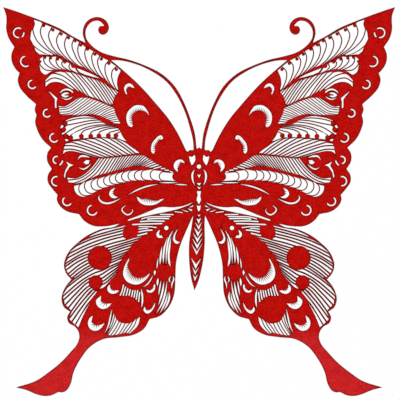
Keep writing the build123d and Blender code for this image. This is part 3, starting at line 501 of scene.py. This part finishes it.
cuts += [  # crescents of the hind wing
    circle((16.4, -13.0), 1.05, 16),
    crescent([(35, -28), (36.2, -30), (37.2, -32), (37.8, -34), (38, -36), (37.4, -38), (36.2, -39.6),
              (34, -40.8), (31.5, -41.3), (29, -40.6), (27.4, -39.4), (25.8, -37.8), (24.6, -35.6)],
             [(25.6, -36.4), (27, -37.3), (28.6, -37.8), (30.5, -38), (32, -37.6), (33.4, -36.8), (34.2, -35.6),
              (34.8, -34.5), (35.6, -33), (35.8, -31.5), (35.2, -29.4)], 0.75),
    crescent([(44.6, -41.3), (45.6, -42.2), (45.7, -44.4), (44, -45.8), (41.7, -45.6), (40, -44.3)],
             [(41.2, -44.2), (43.2, -44.1), (44.6, -42.9)], 0.5),
    crescent([(22, -50.3), (22.3, -52), (23.2, -53.8), (24.5, -55.2), (25.9, -55.8), (27.1, -55.2), (27.8, -54),
              (27.3, -52.3)],
             [(27, -53.1), (26.3, -54), (25.2, -54), (23.8, -53.2), (22.9, -51.9)], 0.45),
    crescent([(22, -41.2), (22.2, -43.7), (23.7, -45.2), (25.8, -45), (26.5, -43.8)],
             [(24.7, -44.4), (23.3, -43.3), (22.6, -41.4)], 0.45),
    crescent([(49.1, -46.9), (51.6, -49.5), (50.8, -52), (48.3, -53.5), (45.8, -52.8), (43.8, -50.7)],
             [(45.2, -50.9), (47.9, -50.5), (49.3, -49.5)], 0.7),
    crescent([(53.2, -56.8), (54.7, -58), (55.6, -61), (54.3, -63.6), (51.5, -64.4), (49, -63), (47.3, -60.5)],
             [(49.5, -61.6), (52.2, -61.5), (53.9, -59.8)], 0.7),
    crescent([(10.6, -13.3), (11.8, -15), (12.8, -17), (13, -19), (12, -20.6), (11, -20.9), (9.6, -20.1)],
             [(11.3, -19.6), (12, -18.3), (11.8, -16)], 0.45),
    crescent([(19.6, -13.9), (20.8, -14.9), (21.4, -16.2), (20.7, -17.7), (18.1, -17.9)],
             [(18.9, -16.6), (19.6, -16.9), (20.2, -16)]),
    slit([(23, -36.3), (24.3, -39), (26, -41.2), (28.3, -42.6)], sheet["narrow"]),
]
cuts += [  # slits beside the abdomen
    slit([(14, -17.5), (14.8, -22), (14.9, -30.5), (14.3, -32.3)], 0.9),
    slit([(12.9, -13.9), (15.2, -18.5), (16.2, -24), (16.6, -31.3)], 0.85),
    slit([(15.7, -17.2), (17.4, -23), (17.9, -27.5), (17.9, -31)], 0.85),
    slit([(18.5, -22), (19.3, -27.5), (19.6, -31.5)], 0.85),
    slit([(20.5, -27.8), (20.9, -31), (21.2, -33.6)], sheet["narrow"]),
    [(22, -33.9), (22.8, -35.2), (22.2, -36.8), (21.7, -35.3)],
    slit([(13.1, -36.9), (12.7, -38.5), (13.6, -41), (13.7, -43.6)]),
    slit([(14.1, -36.9), (15, -39), (14.3, -40.4)], sheet["narrow"]),
    slit([(15.2, -44.6), (14.9, -47.5), (16, -51.2), (17.8, -54.3)], 0.9),
    slit([(15.8, -45), (16.4, -48.7), (17.9, -52.3), (19.8, -55.9)], 0.75),
    slit([(16, -39.1), (17.2, -46.5), (18.6, -50.8), (21.4, -55.8)], 0.9),
    slit([(17.5, -39.6), (18.5, -45.5), (20.4, -51.8)], 0.9),
    slit([(19.1, -39.2), (19.7, -43), (20.3, -47)]),
    slit([(20.5, -37.9), (20.8, -40), (20.9, -42.2)], 0.9),
]
upperComb = [
    [(29.7, -45.0), (30.3, -49.9)],
    [(30.7, -44.1), (31.5, -48.8)],
    [(31.9, -44.2), (32.6, -47.8)],
    [(33.1, -44.1), (33.8, -47.4)],
    [(34.4, -43.6), (35.1, -46.8)],
    [(35.6, -43.1), (36.5, -46.9)],
    [(36.7, -42.3), (38.0, -46.9)],
    [(37.8, -41.3), (38.5, -44.5), (39.5, -46.8)],
]
cuts += [slot(line, 0.56) for line in upperComb]
cuts.append(slit([(29.0, -43.3), (28.5, -46), (28.4, -50), (28.8, -53)], sheet["wide"]))
lowerComb = [
    [(29.3, -57.5), (30.3, -61.5), (34.6, -66.0)],
    [(31.1, -58.4), (32.6, -62.0), (35.4, -65.6)],
    [(33.3, -60), (34.3, -62), (36.6, -65.2)],
    [(35.0, -60.8), (36.4, -62.6), (38.3, -65.6)],
    [(37.1, -60.8), (38.2, -63.0), (40.2, -66.1)],
    [(38.9, -60.4), (39.9, -62.6), (42.3, -66.4)],
    [(40.1, -59.9), (41.2, -62.2), (44.2, -66.7)],
    [(41.3, -58.8), (42.6, -61.6), (45.6, -66.4)],
    [(42.2, -57), (43.3, -60.8), (46.0, -65.8)],
    [(42.9, -55.6), (44.1, -60), (46.3, -65.5)],
]
cuts += cells(0.54, lowerComb)
cuts.append(slit([(43.5, -53.2), (44.4, -57.5), (45.3, -61.5), (47.2, -65.7)], 0.66))
cuts += [  # eyes and throat
    [(2.1, 23.3), (2.6, 23.4), (3, 22.8), (3.7, 22.5), (5.1, 22.8), (4.5, 20.3), (3.8, 18.5), (3.3, 18.6),
     (2.2, 20.3), (1.9, 21.2)],
    smooth([(2, 16.3), (3.4, 15), (3.9, 13), (3.4, 10.5), (2.1, 8.2)])
    + smooth([(2.8, 10.5), (3, 13), (2.7, 15.2)]),
]
bodyCuts = [  # along the middle of the body
    circle((-0.1, 17.7), 1.05, 16),
    [(-1, 14), (-0.2, 13.4), (0.8, 13.9), (0, 11.9)],
    [(-1.2, 9.4), (1, 9.4), (0, 8.2)],
    [(-1.1, 7.8), (0, 7.2), (0.9, 7.7), (0, 6.4)],
    [(-1.1, 5.4), (0.9, 5.4), (0.5, 3), (0.9, 1), (-0.1, -1.2), (-1.3, 1), (-0.7, 3.5)],
    [(-1.1, -1.6), (-0.1, -2.1), (0.8, -1.6), (0.5, -3.8), (-0.2, -4.8), (-0.8, -3.8)],
    [(-0.7, -6.6), (0.7, -6.2), (-0.2, -7.3)],
    [(-1.25, -8.2), (-0.2, -8.8), (0.9, -7.8), (-0.2, -11)],
    [(-2.1, -10), (-0.3, -12.3), (1.3, -10), (-0.2, -14)],
    [(-2.5, -12.7), (-0.4, -15.3), (1.5, -12.7), (-0.7, -17.3)],
    [(-3.2, -15.2), (-0.9, -18.4), (1.8, -15), (-0.9, -20.3)],
    [(-3.4, -18.2), (-0.95, -21.6), (1.6, -18), (-1, -23.5)],
    [(-3.9, -20.8), (-1.1, -24.9), (1.8, -20.2), (-1.3, -26.4)],
    [(-4.1, -27.8), (-1.5, -31.2), (1, -28), (-1.8, -33.5)],
    [(-3.5, -32.3), (-1.8, -34.9), (0, -32.2), (-2, -36.4)],
    [(-3.1, -36.3), (-2, -37.8), (-0.6, -35.9), (-2.15, -39.5)],
]
holes = cuts + [mirrored(points) for points in cuts] + bodyCuts
print("stage: shapes placed,", len(holes), "openings")


def metres(point, height):
    return (point[0] * 0.001, (point[1] + sheet["centreY"]) * 0.001, height * 0.001)


def anticlockwise(points):
    area = sum(a[0] * b[1] - b[0] * a[1] for a, b in zip(points, points[1:] + points[:1]))
    return list(points) if area > 0 else list(points)[::-1]


def dense(points, step):  # more corners along the long straight pieces
    placed = []
    for a, b in zip(points, points[1:] + points[:1]):
        count = max(1, math.ceil(math.dist(a, b) / step))
        placed += [(a[0] + (b[0] - a[0]) * i / count, a[1] + (b[1] - a[1]) * i / count) for i in range(count)]
    return placed


def walls(pieces):  # upright faces along straight pieces, for measuring across the paper
    stands, quads = [], []
    for a, b in pieces:
        first = len(stands)
        stands += [(*a, -1), (*b, -1), (*b, 1), (*a, 1)]
        quads.append((first, first + 1, first + 2, first + 3))
    return BVHTree.FromPolygons(stands, quads)


# painted shade along the cut edges and across thin strands: depth is how far it fades inward, thinFrom and thinTo
# the strand widths where it is full and where it stops
rimShade = {
    "depth": 0.75,
    "reach": 3.0,
    "thinFrom": 0.9,
    "thinTo": 1.7,
    "step": 0.95,
    "apart": 0.16,
    "clear": 0.01,
    "merge": 0.0001,
}
places, tones, lines = [], [], []  # corners in millimetres, painted shade of each, cut lines between them
loops = [(anticlockwise(dense(outline, rimShade["step"])), -1)]
loops += [(anticlockwise(dense(points, rimShade["step"])), 1) for points in holes]
for points, side in loops:
    first, count = len(places), len(points)
    places += points
    tones += [1.0] * count
    lines += [(first + i, first + (i + 1) % count) for i in range(count)]
cutLines = len(lines)
wall = walls([(places[a], places[b]) for a, b in lines])
taken = {}
for points, side in loops:
    for i, (x, y) in enumerate(points):
        before, after = points[i - 1], points[(i + 1) % len(points)]
        inward = Vector((after[1] - before[1], before[0] - after[0], 0)).normalized() * side
        start = Vector((x, y, 0)) + inward * rimShade["clear"]
        across = wall.ray_cast(start, inward, rimShade["reach"])[3]
        across = rimShade["reach"] if across is None else across + rimShade["clear"]
        depth = min(rimShade["depth"], across / 2)
        thin = (rimShade["thinTo"] - across) / (rimShade["thinTo"] - rimShade["thinFrom"])
        inner = (x + inward.x * depth, y + inward.y * depth)
        column, row = round(inner[0] / rimShade["apart"]), round(inner[1] / rimShade["apart"])
        near = [taken.get((column + a, row + b)) for a in (-1, 0, 1) for b in (-1, 0, 1)]
        if all(math.dist(inner, spot) > rimShade["apart"] for spot in near if spot):
            taken[column, row] = inner
            places.append(inner)
            # painted shade: full at the cut edge, fading to none at depth, and full across strands up to thinFrom
            # wide
            tones.append(max(1.0 - depth / rimShade["depth"], min(thin, 1.0)))
print("stage: cut edges measured,", len(places), "corners")

spots = {
    "sides": 18,
    "discs": [((49.7, -27.9), 6.1), ((51.7, -40.2), 3.6)],
    "beads": [(41.6, 33.2), (45.4, 33.2), (50.1, 33.0), (54.2, 32.9), (58.9, 32.8), (64.2, 32.1), (66.6, 33.0),
              (67.0, 39.3), (67.7, 36.2)],
    "beadRadius": 1.25,
    "heads": [(41.4, 66.25), (45.1, 69.3), (48.9, 71.5), (52.1, 73.9), (55.8, 76.4), (59.2, 78.5), (62, 80.6),
              (65.3, 82.1), (69, 84), (73.1, 86), (77.75, 88.2), (67.2, 70), (70.8, 71.5), (74.3, 72),
              (77.2, 72.3)],
    "headRadius": 0.85,
    "leastCore": 0.1,
}
rounds = [(centre, radius, 2 * spots["sides"]) for centre, radius in spots["discs"]]
rounds += [(centre, spots["beadRadius"], spots["sides"]) for centre in spots["beads"]]
rounds += [(centre, spots["headRadius"], spots["sides"]) for centre in spots["heads"]]
rounds += [((-x, y), radius, sides) for (x, y), radius, sides in rounds]
for centre, radius, sides in rounds:  # round patches of paper over the strands
    first = len(places)
    places += circle(centre, radius, sides)
    lines += [(first + i, first + (i + 1) % sides) for i in range(sides)]
    places += circle(centre, max(radius - rimShade["depth"], spots["leastCore"]), sides // 2)
    # painted shade: full on each patch's rim, none at its core
    tones += [1.0] * sides + [0.0] * (sides // 2)

spread, edges, triangles, ownCorners, ownLines = delaunay_2d_cdt(
    [Vector(place) for place in places], lines, [], 0, rimShade["merge"])[:5]
cutEdges = {tuple(sorted(edge)) for edge, own in zip(edges, ownLines) if any(n < cutLines for n in own)}
beside = {}
for n, corners in enumerate(triangles):
    for edge in zip(corners, corners[1:] + corners[:1]):
        beside.setdefault(tuple(sorted(edge)), []).append(n)
paper = {}  # a triangle is paper on one side of a cut line, and an opening on the other
queue = []
for edge, sides in beside.items():
    if len(sides) == 1 and sides[0] not in paper:
        paper[sides[0]] = edge in cutEdges
        queue.append(sides[0])
while queue:
    n = queue.pop()
    corners = triangles[n]
    for edge in zip(corners, corners[1:] + corners[:1]):
        edge = tuple(sorted(edge))
        for other in beside[edge]:
            if other not in paper:
                paper[other] = paper[n] != (edge in cutEdges)
                queue.append(other)


def inRound(x, y, margin=0.0):
    return any((x - a) ** 2 + (y - b) ** 2 < max(r - margin, 0) ** 2 for (a, b), r, sides in rounds)


kept = []
for n, corners in enumerate(triangles):
    middle = sum((spread[c] for c in corners), Vector((0, 0))) / 3
    if paper[n] or inRound(*middle):
        kept.append(tuple(corners))
openEdges = {}
for corners in kept:
    for edge in zip(corners, corners[1:] + corners[:1]):
        if edge[::-1] in openEdges:
            del openEdges[edge[::-1]]
        else:
            openEdges[edge] = True
print("stage: paper parted from openings,", len(kept), "triangles")

rim = walls([(spread[a], spread[b]) for a, b in openEdges])
used = sorted({c for corners in kept for c in corners})
order = {c: i for i, c in enumerate(used)}
# painted shade of each corner; corners inside round patches take it from their distance to the nearest cut edge
shades = []
for c in used:
    x, y = spread[c]
    if ownCorners[c] and not inRound(x, y, rimShade["clear"]):
        shades.append(max(tones[n] for n in ownCorners[c]))
    else:
        shades.append(max(0.0, 1.0 - rim.find_nearest((x, y, 0))[3] / rimShade["depth"]))
shades += shades
count = len(used)
corners = [metres(spread[c], sheet["thickness"]) for c in used] + [metres(spread[c], 0) for c in used]
faces = [tuple(order[c] for c in three) for three in kept]
faces += [tuple(count + c for c in face[::-1]) for face in faces]
faces += [(order[a], count + order[a], count + order[b], order[b]) for a, b in openEdges]

mesh = bpy.data.meshes.new("paperSheet")
mesh.from_pydata(corners, [], faces)
# the painted shade goes into the mesh as the shade attribute
attribute = mesh.attributes.new("shade", "FLOAT", "POINT")
attribute.data.foreach_set("value", shades)
mesh.update()
paperSheet = bpy.data.objects.new("paperSheet", mesh)
scene.collection.objects.link(paperSheet)
print("stage: sheet built,", len(mesh.polygons), "faces")


class Sock:  # a node socket that takes part in sums
    def __init__(self, tree, socket):
        self.tree = tree
        self.socket = socket

    def math(self, operation, first, second):
        node = self.tree.nodes.new("ShaderNodeMath")
        node.operation = operation
        for place, value in enumerate((first, second)):
            plug(self.tree, value, node.inputs[place])
        return Sock(self.tree, node.outputs[0])

    def __add__(self, other):
        return self.math("ADD", self, other)

    def __radd__(self, other):
        return self.math("ADD", other, self)

    def __sub__(self, other):
        return self.math("SUBTRACT", self, other)

    def __rsub__(self, other):
        return self.math("SUBTRACT", other, self)

    def __mul__(self, other):
        return self.math("MULTIPLY", self, other)

    def __rmul__(self, other):
        return self.math("MULTIPLY", other, self)

    def node(self, kind, settings, output, **sockets):
        made = self.tree.nodes.new(kind)
        for name, value in settings.items():
            setattr(made, name, value)
        for name, value in sockets.items():
            place = int(name[1:]) if name[1:].isdigit() else name
            plug(self.tree, value, made.inputs[place])
        return Sock(self.tree, made.outputs[output])


def plug(tree, value, target):
    if isinstance(value, Sock):
        tree.links.new(value.socket, target)
    else:
        target.default_value = value


redPaper = {
    "red": (0.39, 0.003, 0.0018, 1),
    "paleRed": (0.585, 0.0075, 0.0055, 1),
    # painted shade colour, towards which cut edges and thin strands are shaded
    "paintedShadeMaroon": (0.06, 0.0015, 0.0015, 1),
    "tail": (0.48, 0.011, 0.012, 1),
    "paleTail": (0.68, 0.022, 0.024, 1),
    # strength of the painted shade at a cut edge
    "edge": 0.85,
    "mottle": 4.0,
    "cloudShare": 0.35,
    "mottleScale": 240.0,
    "mottleDetail": 3.0,
    "fibreScale": 1000.0,
    "fibreDetail": 2.0,
    "tailFrom": -0.06,
    "tailTo": -0.072,
    "roughness": 0.9,
}


def paperMaterial(look):
    material = bpy.data.materials.new("redPaper")
    material.use_nodes = True
    tree = material.node_tree
    shader = tree.nodes["Principled BSDF"]
    shader.inputs["Specular IOR Level"].default_value = 0.0
    shader.inputs["Roughness"].default_value = look["roughness"]
    make = Sock(tree, shader.inputs["Base Color"])
    place = make.node("ShaderNodeTexCoord", {}, "Object")
    shade = make.node("ShaderNodeAttribute", {"attribute_name": "shade"}, "Fac")
    cloud = make.node("ShaderNodeTexNoise", {}, 0, Vector=place, Scale=look["mottleScale"],
                      Detail=look["mottleDetail"])
    fibre = make.node("ShaderNodeTexNoise", {}, 0, Vector=place, Scale=look["fibreScale"],
                      Detail=look["fibreDetail"])
    height = make.node("ShaderNodeSeparateXYZ", {}, 1, Vector=place)
    low = make.node("ShaderNodeMapRange", {"interpolation_type": "SMOOTHSTEP"}, 0, i0=height,
                    i1=look["tailFrom"], i2=look["tailTo"], i3=0.0, i4=1.0)
    mixed = cloud * look["cloudShare"] + fibre * (1 - look["cloudShare"])
    grain = 0.5 + (mixed - 0.5) * look["mottle"]  # noise lies about a half
    wing = make.node("ShaderNodeMix", {"data_type": "RGBA"}, 2, i0=grain, i6=look["red"], i7=look["paleRed"])
    tail = make.node("ShaderNodeMix", {"data_type": "RGBA"}, 2, i0=grain, i6=look["tail"], i7=look["paleTail"])
    body = make.node("ShaderNodeMix", {"data_type": "RGBA"}, 2, i0=low, i6=wing, i7=tail)
    # painted shade: the colour is mixed towards a deep red at cut edges and across thin strands
    paintedShade = shade * look["edge"]
    colour = make.node("ShaderNodeMix", {"data_type": "RGBA"}, 2, i0=paintedShade, i6=body, i7=look["paintedShadeMaroon"])
    plug(tree, colour, shader.inputs["Base Color"])
    return material


paperSheet.data.materials.append(paperMaterial(redPaper))
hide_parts("paper_cutting")
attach(paperSheet, "root")
print("stage: paper coloured")

floorLook = {
    "size": 2.0,
    "drop": 0.00002,
    "colour": (1.0, 1.0, 1.0, 1),
    "glow": 0.75,
}
reach = floorLook["size"] / 2
floorMesh = bpy.data.meshes.new("floor")
floorMesh.from_pydata([(x, y, -floorLook["drop"]) for x, y in ((-reach, -reach), (reach, -reach),
                                                               (reach, reach), (-reach, reach))],
                      [], [(0, 1, 2, 3)])
floor = bpy.data.objects.new("floor", floorMesh)
floorMaterial = bpy.data.materials.new("floor")
floorMaterial.use_nodes = True
floorShader = floorMaterial.node_tree.nodes["Principled BSDF"]
floorShader.inputs["Base Color"].default_value = floorLook["colour"]
floorShader.inputs["Roughness"].default_value = 1.0
floorShader.inputs["Specular IOR Level"].default_value = 0.0
floorMake = Sock(floorMaterial.node_tree, floorShader.outputs[0])
seen = floorMake.node("ShaderNodeLightPath", {}, "Is Camera Ray")
seen += floorMake.node("ShaderNodeLightPath", {}, "Is Glossy Ray")
seen += floorMake.node("ShaderNodeLightPath", {}, "Is Transmission Ray")
white = floorMake.node("ShaderNodeEmission", {}, 0, Color=floorLook["colour"], Strength=1.0)
blend = floorMake.node("ShaderNodeMixShader", {}, 0, i0=seen * floorLook["glow"], i1=floorMake, i2=white)
plug(floorMaterial.node_tree, blend, floorMaterial.node_tree.nodes["Material Output"].inputs["Surface"])
floorMesh.materials.append(floorMaterial)
scene.collection.objects.link(floor)

lightLook = {
    "sky": (1.0, 1.0, 1.0, 1),
    "strength": 0.84,
    "lampPower": 4.6,
    "lampSize": 2.0,
    "lampPlace": (-0.25, 0.35, 1.2),
}
world = bpy.data.worlds.new("studio")
world.use_nodes = True
world.node_tree.nodes["Background"].inputs["Color"].default_value = lightLook["sky"]
world.node_tree.nodes["Background"].inputs["Strength"].default_value = lightLook["strength"]
scene.world = world
lampData = bpy.data.lights.new("softbox", "AREA")
lampData.energy = lightLook["lampPower"]
lampData.size = lightLook["lampSize"]
lamp = bpy.data.objects.new("softbox", lampData)
lamp.location = lightLook["lampPlace"]
lamp.rotation_euler = Vector(lightLook["lampPlace"]).to_track_quat("Z", "Y").to_euler()
scene.collection.objects.link(lamp)
scene.view_settings.view_transform = "Standard"

cameraLook = {
    "lens": 100.0,
    "sensor": 36.0,
    "field": 0.2,
    "aim": (0.425, 0.99),
}
cameraData = bpy.data.cameras.new("camera")
cameraData.lens = cameraLook["lens"]
cameraData.sensor_width = cameraLook["sensor"]
camera = bpy.data.objects.new("camera", cameraData)
camera.location = metres(cameraLook["aim"], 1000 * cameraLook["field"] * cameraLook["lens"] / cameraLook["sensor"])
scene.collection.objects.link(camera)
scene.camera = camera
print("stage: studio set")
